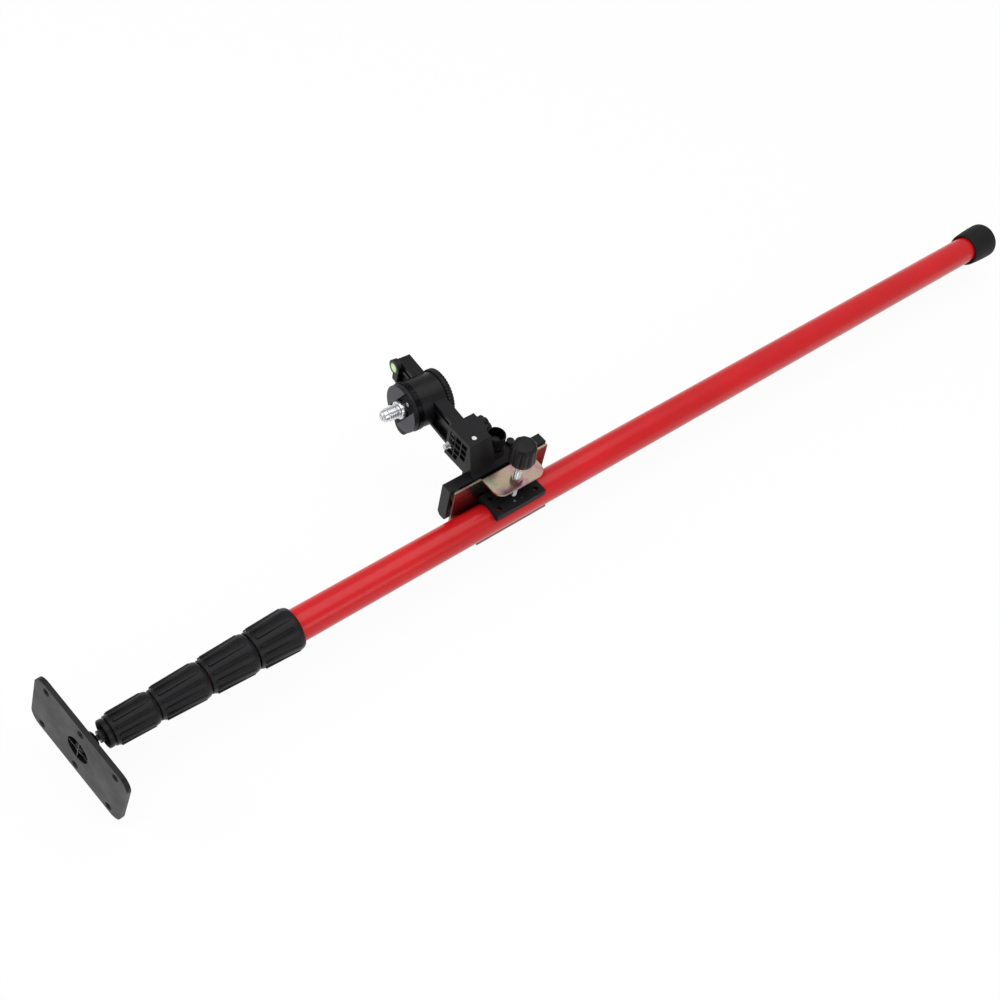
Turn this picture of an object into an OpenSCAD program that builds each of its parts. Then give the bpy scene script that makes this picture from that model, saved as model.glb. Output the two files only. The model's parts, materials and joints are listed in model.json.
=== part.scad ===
// Telescopic pole with a clamp-on instrument bracket, lying along X as photographed.
// The origin is the centre of the foot's end face. +X runs along the pole to the head plate,
// the bracket's arm points to -Y and the clamp screw points up, to +Z.

/* [Pole] */
// Distance from the foot's end face to the centre of the head ball
pole_len = 1389; // [1100:1:1700]
// Outside diameter of the outer tube
tube_od = 36; // [34:0.5:40]
// Step in diameter from one tube to the next
tube_step = 4; // [3.6:0.1:4.4]
// Wall of every tube
tube_wall = 1.2; // [0.8:0.1:1.5]
// Radial play between a guide bush and the tube that it runs in
bush_play = 0.08; // [0.05:0.01:0.1]
// Length of a guide bush
bush_len = 30; // [20:1:40]
// How much further in each tube's inner end starts than the last one's
nest_step = 40; // [36:1:60]

/* [Foot] */
// Length of the rubber foot
foot_len = 44; // [36:1:60]
// Diameter of the foot at the floor
foot_od = 47.6; // [46:0.2:52]
// Diameter of the foot at its rim
foot_rim_od = 43.6; // [42:0.2:45]
// Rubber below the tube's end
foot_floor = 5; // [3:0.5:8]
// Depth of the wider mouth of the foot
foot_mouth = 6; // [3:0.5:10]

/* [Twist locks] */
// Distance from the head ball to the near end of the smallest grip
grip_start = 22; // [21.5:0.1:24]
// Length of the three telescope grips, from the smallest
grip_len_3 = 52.6; // [46:0.1:58]
// Length of the middle telescope grip
grip_len_2 = 51.7; // [46:0.1:58]
// Length of the largest telescope grip
grip_len_1 = 50.2; // [46:0.1:58]
// Length of the jack grip
grip_len_4 = 45.9; // [40:0.1:50]
// Width of the groove between two grips
grip_gap = 1.7; // [1.2:0.1:3]
// Radius that a telescope grip's ribs add at its head end to the tube it holds
grip_add = 6.6; // [6.4:0.1:7.2]
// How much a grip grows in radius towards the foot
grip_taper = 1.55; // [1:0.05:2]
// Height of a grip's ribs at its head end
rib_high = 2.4; // [1.6:0.1:2.5]
// Height of a grip's ribs at its foot end
rib_low = 0.7; // [0.4:0.1:1.2]
// Ribs round a grip
rib_count = 13; // [8:1:18]
// Angle that one rib covers
rib_angle = 8; // [6:0.5:10]
// Length of the smooth lip at a grip's head end
grip_lip = 4; // [3:0.1:6]
// Length of the smooth rounded foot end of a grip
foot_smooth = 6.2; // [5:0.1:8]

/* [Head] */
// Length of the head plate
plate_len = 138; // [124:1:160]
// Width of the head plate
plate_w = 84; // [76:1:100]
// Thickness of the head plate
plate_t = 5; // [4:0.5:7]
// Corner radius of the head plate
plate_r = 14; // [8:1:20]
// Spacing of the screw holes along the plate
plate_hole_y = 51.5; // [45:0.5:56]
// Half the spacing of the screw holes across the plate
plate_hole_z = 33.2; // [30:0.2:36]
// Radius of a screw hole
plate_hole_r = 2.5; // [2:0.1:3.2]
// Radius of a screw hole's countersink
plate_sink_r = 4.8; // [4:0.1:5.2]
// Radius of the round opening in the middle of the plate
plate_window_r = 15; // [14:0.2:16]
// Radius of the head ball
ball_r = 6.5; // [6:0.1:7]
// Radius of the jack screw
jack_r = 6.35; // [5.8:0.05:6.6]
// Length of the jack screw
jack_len = 92; // [80:1:110]
// Spin of the head plate about the pole at rest
plate_spin = 9; // [-20:1:20]
// Nod of the head plate at rest
plate_nod = 4.2; // [-8:0.2:8]
// Swing of the head plate at rest
plate_swing = 6.4; // [-8:0.2:8]

/* [Clamp] */
// Distance from the foot's end face to the clamp screw
clamp_x = 877; // [300:1:1000]
// Thickness of the steel clamp frame
steel_t = 2.5; // [2:0.1:3]
// Length of the clamp frame's back plate
back_len = 131; // [120:1:150]
// Height of the back plate's top above the pole axis
back_top = 45; // [42:0.5:50]
// Depth of the back plate's ends below the pole axis
back_low = 3; // [0:0.5:8]
// Gap from the tube to the back plate
back_gap = 2; // [1:0.1:3]
// Length of the flange under the tube
lip_len = 100; // [80:1:110]
// How far the flange reaches past the pole axis
lip_reach = 12; // [8:0.5:16]
// Length of the tongue over the pad
tongue_len = 69; // [60:1:80]
// How far the tongue reaches past the pole axis
tongue_reach = 9.5; // [8:0.5:14]
// Corner radius of the tongue
tongue_r = 12; // [6:0.5:14]
// Shift of the steel plates along the pole from the screw
plate_shift = 3; // [0:0.5:5]
// Length of the pressure pad
pad_len = 69; // [60:1:80]
// Width of the pressure pad
pad_w = 33; // [30:0.5:36]
// Rubber between the tube's top and the pad's top
pad_over = 4; // [3:0.5:6]
// Thickness of the pad at its sides
pad_t = 8; // [6:0.5:10]
// Radius of the clamp screw
screw_r = 4; // [3:0.1:5]
// Height of the clamp knob's underside above the pole axis
knob_low = 76; // [70:0.5:90]
// Height of the clamp knob
knob_h = 29; // [22:0.5:34]
// Radius of the clamp knob
knob_r = 15; // [12:0.5:16]
// Depth of the flutes on the knobs
flute_h = 0.8; // [0.4:0.1:1]

/* [Magnet bar] */
// Shift of the magnet bar along the pole from the clamp screw
bar_shift = 5; // [0:0.5:8]
// Length of the magnet bar
bar_len = 136; // [120:1:150]
// Height of the magnet bar
bar_h = 48; // [44:0.5:54]
// Thickness of the magnet bar
bar_t = 13; // [12:0.5:16]
// Chamfer of the magnet bar's long lower edges
bar_cut = 4; // [2:0.5:6]
// Radius of a magnet
magnet_r = 9; // [7:0.5:10]
// Thickness of a magnet
magnet_t = 8; // [5:0.5:9]
// How far a magnet stands out of the bar
magnet_out = 1.5; // [1:0.1:2]

/* [Arm block] */
// Least wall of the arm block at the lattice side
block_wall = 1.6; // [1.2:0.1:2]
// Length of the arm block along the arm
block_len = 36; // [32:0.5:42]
// Width of the arm block
block_w = 33.6; // [32:0.1:38]
// Thickness of the arm block's roof
block_roof = 2.8; // [2:0.1:4]
// Thickness of the arm block's floor
block_floor = 4; // [3:0.1:6]
// Tilt of the arm that the channel allows to each side
tilt_limit = 4.5; // [4:0.1:5.5]
// Tilt of the arm at rest
arm_lean = 4; // [-4:0.1:4]
// Shift of the arm's pivot along the pole from the clamp screw
pivot_shift = 29; // [26:0.5:32]
// Radius of the pivot screw
pivot_r = 2; // [1.5:0.1:2.5]
// Radius of the fine-adjusting screw
fine_r = 3; // [2.5:0.1:3.2]
// Distance from the pivot to the fine-adjusting screw
fine_arm = 22; // [20:0.5:24]
// Radius of the fine-adjusting knob
fine_knob_r = 13.5; // [11:0.5:14]
// Width of the fine-adjusting knob
fine_knob_w = 16; // [12:0.5:20]
// Outside radius of the cup-shaped locking knob
cup_r = 11; // [9:0.1:11.2]
// Height of the cup-shaped locking knob
cup_h = 18; // [14:0.5:22]

/* [Arm] */
// Length of the rail from its pivot to its far end
rail_len = 136.5; // [132:0.5:170]
// Width of the rail
rail_w = 15.6; // [14.5:0.1:16]
// Height of the rail
rail_h = 37; // [34:0.5:38]
// Height of the rail's underside above the pole axis
rail_low = 47; // [46:0.5:50]
// Distance from the pivot to the carriage axis
drum_at = 85.5; // [80:0.5:100]
// Radius of the carriage
drum_r = 27.3; // [26:0.1:29]
// Length of the carriage in front of the rail
drum_front = 14.1; // [12:0.1:22]
// Thickness of the carriage's back cover
cover_t = 1.5; // [1.2:0.1:2]
// Radius of the pinion knob
wheel_r = 29.5; // [28:0.1:31]
// Thickness of the pinion knob
wheel_t = 7; // [5:0.5:10]
// Thickness of the dial ring
dial_t = 6; // [4:0.5:8]
// Radius of the dial ring
dial_r = 28.2; // [27:0.1:29]
// Thickness of the turntable
table_t = 6.5; // [5:0.5:8]
// Width of the band sunk across the turntable
band_w = 22; // [21.5:0.5:26]
// Depth of the band
band_t = 2.5; // [1.5:0.1:3]
// Angle of the band at rest
band_angle = 120; // [90:1:150]
// Radius of the instrument thread, five eighths of an inch across
thread_r = 7.94; // [7.5:0.01:8.5]
// Length of the instrument thread
thread_len = 20.5; // [14:0.5:24]
// Pitch of the instrument thread
thread_pitch = 2.31; // [1.5:0.01:3]
// Radius of the adapter's collar
collar_r = 10.5; // [9:0.1:10.7]
// Height of the adapter's collar above the turntable
collar_h = 4; // [3:0.5:6]
// Radius of the small bore in the adapter's tip
socket_r = 3; // [2.5:0.1:3.3]
// Radius of the level's housing
level_r = 9; // [8:0.5:10]
// Radius of the level's vial
vial_r = 6.2; // [5:0.1:7]
// Module of the rack and pinion
gear_m = 1; // [0.9:0.05:1.05]
// Teeth of the pinion
pinion_teeth = 12; // [12:1:13]

/* [Hidden] */
$fn = 96;
// Overrun of every cut
over = 1;
// Radial play of a piece pressed or glued in place
snug = 0.03;
// Radial play of a turning shaft
run = 0.08;
// Gap between two pieces that move past each other
free = 0.3;
// Colours
black = [0.09, 0.09, 0.1];
dark = [0.15, 0.15, 0.16];
red = [0.75, 0.06, 0.07];
steel = [0.8, 0.81, 0.82];
blacked = [0.12, 0.12, 0.13];
zinc = [0.78, 0.66, 0.42];
brass = [0.78, 0.62, 0.3];
nylon = [0.85, 0.85, 0.82];
green = [0.55, 0.85, 0.35];

// Tubes, numbered from the outer one
function tube_r(k) = tube_od / 2 - (k - 1) * tube_step / 2;
function bore_r(k) = tube_r(k) - tube_wall;

// Grips along the pole, measured from the head ball towards the foot
gap_end = 0.5;
grip_4_at = grip_start;
grip_3_at = grip_4_at + grip_len_4 + grip_gap;
grip_2_at = grip_3_at + grip_len_3 + grip_gap;
grip_1_at = grip_2_at + grip_len_2 + grip_gap;
function grip_at(k) = [grip_1_at, grip_2_at, grip_3_at, grip_4_at][k - 1];
function grip_len(k) = [grip_len_1, grip_len_2, grip_len_3, grip_len_4][k - 1];
// Depth of a tube's end inside its own grip, from the grip's head end
seat_depth = 14;
function tube_end(k) = pole_len - grip_at(k) - seat_depth;
function tube_start(k) = foot_floor + (k - 1) * nest_step;

// Outer radius of a grip's head end, ribs included
function grip_r(k) = tube_r(k + 1) + grip_add;
jack_less = 1;
jack_grip_r = tube_r(4) + grip_add - jack_less;
// How much a grip's foot end falls away to its rounded edge
foot_drop = 2.2;
// Turn of the first rib, from straight down towards the arm
rib_phase = 155;
rib_round = 2.4;
end_round = 2;
base_wall = 1.6;
cone_len = 9;
lip_t = 2.4;
collet_thin = 1.4;
collet_thick = 2.4;

// Jack: its parts' places are measured from the grip's head end or from the ball
journal_wall = 2;
journal_r = tube_r(4) + journal_wall;
journal_at = 8;
nut_end = 7.5;
nut_wall = 3;
clip_at = 10;
clip_t = 1.2;
clip_depth = 0.8;
clip_play = 0.2;
jack_cap_r = 14.75;
jack_cap_t = 5;
jack_cap_wall = 1.5;
jack_neck_r = 12.5;
jack_cap_at = 15.5;
jack_front = 11;
flat_depth = 0.8;

// Head
stud_r = 3;
stud_pin_r = 2;
stud_depth = 9;
play_ball = 0.2;
dome_at = -1.8;
dome_round = 2;
rib_sink = 0.4;
liner_t = 1.3;
socket_wall = 2;
boss_r = plate_window_r + socket_wall;
boss_back = 7.5;
cross_t = 1.2;
ball_depth = 11;
cone_open = 50;

// Clamp
back_y = tube_od / 2 + back_gap;
lip_z = tube_od / 2 + free;
bend_r = steel_t;
nut_h = 6;
nut_r = 7;
sleeve_h = 9;
sleeve_wall = 2;
pad_z = tube_od / 2 + pad_over;
tip_sink = 2.2;
pin_r = 1.6;
pin_gap = 4.6;
pin_y = 9.2;
pad_hole_r = 3;
pad_hole_x = 26;
pad_hole_y = 8;

// Magnet bar and arm block
bar_y = back_y + steel_t + magnet_out;
bar_over = 2;
bar_top = back_top + bar_over;
bar_screw_r = 2;
bar_screw_shares = [0.3, 0.75];
bar_head_r = 3.8;
bar_head_t = 2.4;
bar_sink = 3;
bar_grip = 5;
bar_screw_in = 7;
bar_screw_out = 12;
block_back = 1;
block_y = bar_y + bar_t + block_back;
pivot_in = 8;
pivot_y = block_y + pivot_in;
// Half the width of the rail's channel at its open end
channel_end = rail_w / 2 / cos(tilt_limit) + (block_y + block_len - pivot_y) * tan(tilt_limit) + free;
block_left = -pivot_shift - channel_end - block_wall;
block_right = block_left + block_w;
rail_top = rail_low + rail_h;
roof_z = rail_top + free + block_roof;
floor_z = rail_low - block_floor;
rail_tail = 5;
rail_boss = 15;
fine_z = rail_low + rail_boss;
foot_out = 24;
shelf_in = 2;
shelf_out = 16;
shelf_drop = 4;
cup_in = 3.7;
// How far the locking knob's axis lies past the block's wall, half over the block
cup_past = 7;
cup_x = block_right + cup_past;
cup_room = 0.6;
cup_y = block_y + cup_in;
boss_z = rail_low + rail_boss;
cup_boss_r = 12;
cup_wall = 2.4;
slit_t = 1.2;
slit_up = 6;
slit_in = 19;
lug_r = 4.5;
lug_x = 20;
lattice_rib = 1.6;
lattice_edge = 4;
pivot_head_t = 1.3;
pivot_head_r = 2.7;
pivot_short = 1;
fine_out = 8;
fine_boss = 2.5;
fine_collar = 2;
clip_rim = 1;
fine_nut_r = 5;
fine_nut_t = 4;
fine_nut_in = 2.3;
fine_room = 1.2;
lock_nut_r = 5.9;
lock_nut_t = 4;
lock_head_r = 5;
lock_head_t = 3;

// Arm
axis_z = rail_low + rail_h / 2;
half_w = rail_w / 2;
drum_back = half_w + free;
pinion_r = gear_m * pinion_teeth / 2;
rack_pitch = PI * gear_m;
rack_root = axis_z - pinion_r - 1.3 * gear_m;
shaft_r = 3;
gear_w = 5;
gear_side = 0.5;
shaft_short = 1.2;
rack_w = 6;
rack_from = 34;
rack_end = 4;
groove_in = 5;
groove_up = 4;
groove_h = 21;
slot_down = 8;
slot_h = 4;
line_w = 0.6;
level_in = 3;
level_at = rail_len - level_in;
level_up = 28.5;
level_z = rail_low + level_up;
level_t = 6;
level_foot = 6;
level_foot_w = 9;
vial_out = 0.4;
drum_rib_w = 2;
drum_rib_h = 0.6;
drum_rib_in = 1;
drum_end = 2;
// The single rib's length as a share of the carriage's
short_rib_share = 0.6;
// Turns of the carriage's ribs from the rail's far end upwards: one short rib and a pair
short_rib_turn = 48;
pair_turns = [121, 128];
cover_screw_r = 1.2;
cover_screw_in = 3.2;
cover_screw_len = 6;
notch_w = 1.4;
notch_depth = 0.6;
notch_end = 1.5;
wheel_notch_w = 1.6;
wheel_notch_depth = 0.7;
table_hub_r = 6;
neck_r = 4;
neck_t = 5;
centre_r = 2.2;
centre_in = 3;
band_screw_at = 17.3;
band_screw_r = 1.6;
band_head_r = 2.4;
band_head_t = 1;
thread_depth = 0.7;
thread_end = 3;
socket_depth = 12;
collar_round = 1;
ear_r = 12;
ear_t = 5;
ear_at = 34.2;
ear_turn = -82;
table_back = -half_w - free - drum_front - dial_t - free;
table_front = table_back - table_t;

// The pole runs along X; d is measured from the head ball towards the foot
module along_x(x) {
    translate([x, 0, 0]) rotate([0, 90, 0]) children();
}
module tube_piece(x0, x1, outer, inner) {
    along_x(x0) difference() {
        cylinder(h = x1 - x0, r = outer);
        translate([0, 0, -over]) cylinder(h = x1 - x0 + 2 * over, r = inner);
    }
}
// A frame whose x runs from the head ball towards the foot and y along the arm
module from_head() {
    translate([pole_len, 0, 0]) rotate([0, 0, 180]) children();
}
module at_clamp() {
    translate([clamp_x, 0, 0]) rotate([0, 0, 180]) children();
}
// The arm's own frame at its pivot, y along the rail
module at_arm() {
    at_clamp() translate([-pivot_shift, pivot_y, 0]) rotate([0, 0, -arm_lean]) children();
}
// The carriage's own frame on its axis, x across the rail
module at_drum() {
    at_arm() translate([0, drum_at, axis_z]) children();
}
// A solid of revolution about x from points of x and radius
module lathe_x(points) {
    rotate([0, 90, 0]) rotate_extrude() polygon([for (p = points) [p[1], p[0]]]);
}

module pole_tube(k) {
    color(red) tube_piece(tube_start(k), tube_end(k), tube_r(k), bore_r(k));
}
module outer_tube() {
    pole_tube(1);
}
module foot_cap() {
    seat = tube_r(1) + snug;
    color(black) difference() {
        lathe_x([
            [0, 0], [0, foot_od / 2 - end_round], [end_round, foot_od / 2],
            [foot_len / 3, foot_od / 2], [foot_len - end_round, foot_rim_od / 2],
            [foot_len, foot_rim_od / 2 - end_round / 2], [foot_len, 0]
        ]);
        along_x(foot_floor) cylinder(h = foot_len, r = seat);
        along_x(foot_len - foot_mouth) cylinder(h = foot_mouth + over, r = seat + end_round / 2);
    }
}
// A bush in the inner end of tube k, running in the next larger tube
module guide_bush(k) {
    run_r = bore_r(k - 1) - bush_play;
    start = tube_start(k) - bush_len / 2;
    color(nylon) difference() {
        union() {
            along_x(start) cylinder(h = bush_len / 2 - snug, r = run_r);
            along_x(start) cylinder(h = bush_len, r = bore_r(k) - snug);
        }
        along_x(start - over) cylinder(h = bush_len + 2 * over, r = bore_r(k) - tube_step / 2);
    }
}

// The fixed part of a twist lock on the end of tube k, inside its grip and the groove behind it
module lock_base(k) {
    g = grip_at(k);
    start = g + cone_len + gap_end;
    far = g + grip_len(k) - gap_end;
    foot_end = k == 1 ? far : far + grip_gap;
    color(dark) from_head() difference() {
        along_x(start) cylinder(h = foot_end - start, r = tube_r(k) + base_wall);
        along_x(g + seat_depth) cylinder(h = foot_end, r = tube_r(k) + snug);
        along_x(g) cylinder(h = foot_end, r = tube_r(k + 1) + free);
    }
}
// A split ring that the grip squeezes onto the smaller tube
module lock_collet(k) {
    g = grip_at(k);
    bore = tube_r(k + 1) + run;
    color(nylon) from_head() difference() {
        lathe_x([
            [g + lip_t + gap_end, 0], [g + lip_t + gap_end, bore + collet_thin],
            [g + cone_len, bore + collet_thick], [g + cone_len, 0]
        ]);
        along_x(g) cylinder(h = cone_len + over, r = bore);
        translate([g, -slit_t / 2, 0]) cube([cone_len + over, slit_t, foot_od]);
    }
}
// Ribs round a tapered sleeve from x0 to x1, their tops at radius r0 and r1
module grip_ribs(x0, x1, r0, r1, high) {
    head = x0 + grip_lip;
    foot = x1 - foot_smooth;
    for (i = [0:rib_count - 1]) {
        turn = rib_phase + i * 360 / rib_count - rib_angle / 2;
        rotate([0, 90, 0]) rotate([0, 0, turn]) rotate_extrude(angle = rib_angle)
            polygon([
                [r0 - high - rib_low, head], [r0 - high / 2, head + rib_round / 6],
                [r0 - high / 6, head + rib_round / 2], [r0, head + rib_round], [r1, foot - rib_round],
                [r1 - rib_low / 3, foot - rib_round / 4], [r1 - 2 * rib_low, foot]
            ]);
    }
}
// The turning sleeve of a twist lock, x measured from the ball, with its foot end rounded
module grip_sleeve(x0, x1, r0, r1, high) {
    lip_r = r0 - high;
    skin_r = r1 - rib_low;
    lathe_x(concat(
        [[x0, 0], [x0, lip_r - gap_end], [x0 + gap_end, lip_r]],
        [for (t = [0:18:90]) [x1 - foot_smooth * (1 - sin(t)), skin_r - foot_drop * (1 - cos(t))]],
        [[x1, 0]]
    ));
    grip_ribs(x0, x1, r0, r1, high);
}
module lock_grip(k) {
    g = grip_at(k);
    far = g + grip_len(k);
    bore = tube_r(k + 1) + run;
    clear_r = tube_r(k) + base_wall + run;
    color(black) from_head() difference() {
        grip_sleeve(g, far, grip_r(k), grip_r(k) + grip_taper, rib_high);
        along_x(g - over) cylinder(h = grip_len(k) + 2 * over, r = bore + free);
        along_x(g + lip_t) cylinder(h = grip_len(k), r = bore + collet_thick + run);
        along_x(g + cone_len + gap_end / 2) cylinder(h = grip_len(k), r = clear_r);
    }
}

// The jack at the top of the last tube
module jack_base() {
    g = grip_4_at;
    far = g + grip_len_4 + grip_gap - gap_end;
    color(dark) from_head() difference() {
        along_x(g + journal_at) cylinder(h = far - g - journal_at, r = journal_r);
        along_x(g + seat_depth) cylinder(h = grip_len_4, r = tube_r(4) + snug);
        jack_thread_space(run);
        along_x(g + clip_at) difference() {
            cylinder(h = clip_t + clip_play, r = journal_r + over);
            translate([0, 0, -over]) cylinder(h = clip_t + 2 * over, r = journal_r - clip_depth);
        }
    }
}
// Round bore with two flats that keep the jack screw from turning
module jack_thread_space(play) {
    intersection() {
        along_x(0) cylinder(h = 2 * jack_len, r = jack_r + play);
        translate([0, -jack_r - over, -jack_r + flat_depth - play])
            cube([2 * jack_len, 2 * jack_r + 2 * over, 2 * (jack_r - flat_depth + play)]);
    }
}
module jack_clip() {
    start = grip_4_at + clip_at + clip_play / 2;
    color(steel) from_head() difference() {
        tube_piece(start, start + clip_t, journal_r + clip_depth, journal_r - clip_depth + snug);
        translate([grip_4_at, -slit_t, 0]) cube([2 * journal_r, 2 * slit_t, 2 * journal_r]);
    }
}
module jack_grip() {
    g = grip_4_at;
    far = g + grip_len_4;
    rim = jack_cap_at + jack_cap_t;
    color(black) from_head() difference() {
        union() {
            grip_sleeve(g, far, jack_grip_r, jack_grip_r + grip_taper / 2, rib_high - jack_less / 3);
            along_x(rim) cylinder(h = g - rim + over, r = jack_neck_r);
        }
        along_x(g + nut_end) cylinder(h = grip_len_4, r = journal_r + run);
        along_x(g + clip_at - clip_play)
            cylinder(h = clip_t + 4 * clip_play, r = journal_r + clip_depth + clip_play);
        along_x(0) cylinder(h = 2 * g, r = jack_r + nut_wall + snug);
    }
}
module jack_nut() {
    rim = jack_cap_at + jack_cap_t;
    color(brass) from_head() difference() {
        along_x(rim) cylinder(h = grip_4_at + nut_end - rim, r = jack_r + nut_wall);
        along_x(0) cylinder(h = 2 * grip_4_at, r = jack_r + run);
    }
}
module jack_cap() {
    rim = jack_cap_at + jack_cap_t;
    color(black) from_head() difference() {
        lathe_x([
            [jack_cap_at, 0], [jack_cap_at, jack_cap_r - end_round / 2],
            [jack_cap_at + end_round / 2, jack_cap_r], [rim - end_round / 2, jack_cap_r],
            [rim, jack_cap_r - end_round / 2], [rim, 0]
        ]);
        along_x(0) cylinder(h = rim - jack_cap_wall, r = jack_cap_r - jack_cap_wall);
        along_x(0) cylinder(h = 2 * rim, r = jack_r + free);
    }
}
module jack_screw() {
    color(blacked) from_head() difference() {
        intersection() {
            along_x(jack_front) cylinder(h = jack_len, r = jack_r);
            translate([0, -jack_r - over, -jack_r + flat_depth])
                cube([2 * jack_len, 2 * jack_r + 2 * over, 2 * (jack_r - flat_depth)]);
        }
        along_x(0) cylinder(h = jack_front + stud_depth + stud_pin_r, r = stud_pin_r + run);
    }
}
module ball_stud() {
    color(blacked) from_head() {
        sphere(r = ball_r);
        along_x(0) cylinder(h = jack_front - free, r = stud_r);
        along_x(0) cylinder(h = jack_front + stud_depth, r = stud_pin_r);
    }
}
// A ball shell, open in a cone towards the pole and cut level in front
module ball_shell(inner, outer, front) {
    difference() {
        sphere(r = outer);
        sphere(r = inner);
        rotate([0, 90, 0]) rotate_extrude()
            polygon([[0, 0], [2 * outer * sin(cone_open), 2 * outer * cos(cone_open)], [0, 2 * outer]]);
        translate([-2 * outer, -outer - over, -outer - over])
            cube([2 * outer - front, 2 * outer + 2 * over, 2 * outer + 2 * over]);
    }
}
module ball_liner() {
    color(nylon) from_head() rotate([0, plate_nod, 0])
        ball_shell(ball_r + play_ball, ball_r + liner_t, ball_r / 3);
}
// The head plate's own frame, tilted about the ball
module at_plate() {
    from_head() rotate([plate_spin, plate_nod, plate_swing]) children();
}
module plate_holes() {
    for (y = [-plate_hole_y, 0, plate_hole_y]) {
        for (z = [-plate_hole_z, plate_hole_z]) translate([0, y, z]) children();
    }
}
module head_plate() {
    face = -ball_depth;
    sink = plate_sink_r - plate_hole_r;
    color(dark) at_plate() difference() {
        translate([face, 0, 0]) rotate([0, 90, 0]) rounded_slab(plate_w, plate_len, plate_t, plate_r);
        along_x(face - over) cylinder(h = plate_t + 2 * over, r = plate_window_r);
        plate_holes() along_x(face - over) cylinder(h = plate_t + 2 * over, r = plate_hole_r);
        plate_holes() translate([face, 0, 0]) lathe_x([
            [-over, 0], [-over, plate_sink_r + over], [sink, plate_hole_r], [sink, 0]
        ]);
    }
}
// The domed socket behind the plate, with a hollow cup for the ball on crossed ribs
module ball_socket() {
    back = plate_t - ball_depth;
    cup = ball_r + liner_t + play_ball;
    wall = cup + socket_wall;
    color(dark) at_plate() difference() {
        union() {
            lathe_x([
                [back, plate_window_r - snug], [back, boss_r], [dome_at, boss_r],
                [boss_back - dome_round, wall], [boss_back, cup], [boss_back, 0], [-wall, 0],
                [-wall, wall / 2], [-wall / 2, wall], [dome_at, wall + dome_round],
                [dome_at, plate_window_r - snug]
            ]);
            for (turn = [0, 90]) rotate([turn, 0, 0])
                translate([rib_sink - ball_depth, -plate_window_r + snug, -cross_t / 2])
                    cube([ball_depth - rib_sink - cup / 3, 2 * plate_window_r - 2 * snug, cross_t]);
        }
        sphere(r = cup);
        lathe_x([[0, 0], [3 * cup, 0], [3 * cup * cos(cone_open), 3 * cup * sin(cone_open)]]);
    }
}
module rounded_slab(w, l, t, r) {
    linear_extrude(t) {
        square([w - 2 * r, l], center = true);
        square([w, l - 2 * r], center = true);
        for (x = [-1, 1], y = [-1, 1]) translate([x * (w / 2 - r), y * (l / 2 - r)]) circle(r = r);
    }
}
// The bent steel frame that hooks round the tube
module clamp_frame() {
    color(zinc) at_clamp() difference() {
        union() {
            translate([-back_len / 2 - plate_shift, back_y, -back_low])
                cube([back_len, steel_t, back_top + back_low - bend_r]);
            translate([-lip_len / 2 - plate_shift, back_y, -lip_z - steel_t + bend_r])
                cube([lip_len, steel_t, lip_z + steel_t + back_low]);
            translate([-lip_len / 2 - plate_shift, -lip_reach, -lip_z - steel_t])
                cube([lip_len, lip_reach + back_y + steel_t - bend_r, steel_t]);
            translate([-tongue_len / 2 + plate_shift, 0, 0]) tongue();
            bend(lip_len, -lip_len / 2 - plate_shift, -lip_z - steel_t + bend_r, 270);
            bend(tongue_len, -tongue_len / 2 + plate_shift, back_top - bend_r, 0);
            for (side = [-1, 1]) top_corner(side);
        }
        cylinder(h = 2 * back_top, r = screw_r + free);
    }
}
// The back plate's square top on one side of the tongue
module top_corner(side) {
    start = side < 0 ? -back_len / 2 - plate_shift : tongue_len / 2 + plate_shift;
    width = (back_len - tongue_len) / 2 - side * 2 * plate_shift;
    translate([start, back_y, back_top - bend_r - over]) cube([width, steel_t, bend_r + over]);
}
module tongue() {
    translate([0, -tongue_reach, back_top - steel_t]) linear_extrude(steel_t) {
        translate([tongue_r, tongue_r]) circle(r = tongue_r);
        translate([tongue_len - tongue_r, tongue_r]) circle(r = tongue_r);
        translate([tongue_r, 0]) square([tongue_len - 2 * tongue_r, tongue_r]);
        translate([0, tongue_r]) square([tongue_len, tongue_reach + back_y + steel_t - bend_r - tongue_r]);
    }
}
// A quarter bend along x that ends the back plate
module bend(length, x, z, turn) {
    translate([x, back_y + steel_t - bend_r, z]) rotate([90, 0, 90]) rotate([0, 0, turn])
        intersection() {
            cylinder(h = length, r = bend_r);
            cube([bend_r, bend_r, length]);
        }
}
module clamp_nut() {
    color(zinc) at_clamp() translate([0, 0, back_top]) difference() {
        cylinder(h = nut_h, r = nut_r, $fn = 6);
        translate([0, 0, -over]) cylinder(h = nut_h + 2 * over, r = screw_r + run);
    }
}
module clamp_screw() {
    tip = pad_z - tip_sink;
    color(steel) at_clamp() {
        translate([0, 0, tip]) cylinder(h = knob_low + knob_h / 2 - tip, r = screw_r);
        translate([0, 0, knob_low - sleeve_h]) cylinder(h = sleeve_h, r = screw_r + sleeve_wall);
    }
}
module clamp_knob() {
    lobes = 10;
    lobe_r = knob_r / 6;
    body_r = knob_r - flute_h;
    top_r = knob_r - 2 * flute_h;
    color(black) at_clamp() difference() {
        translate([0, 0, knob_low]) union() {
            cylinder(h = knob_h / 6, r1 = knob_r * 0.7, r2 = body_r);
            translate([0, 0, knob_h / 6]) cylinder(h = knob_h * 0.7, r1 = body_r, r2 = top_r);
            translate([0, 0, knob_h / 6 + knob_h * 0.7])
                cylinder(h = knob_h * 0.8 / 6, r1 = top_r, r2 = knob_r * 0.75);
            for (i = [0:lobes - 1]) rotate([0, 0, (i + 0.5) * 360 / lobes])
                translate([knob_r - lobe_r - flute_h / 2, 0, knob_h / 8])
                    cylinder(h = knob_h * 0.72, r = lobe_r);
        }
        translate([0, 0, knob_low - over]) cylinder(h = knob_h / 2 + over, r = screw_r + snug);
    }
}
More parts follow.
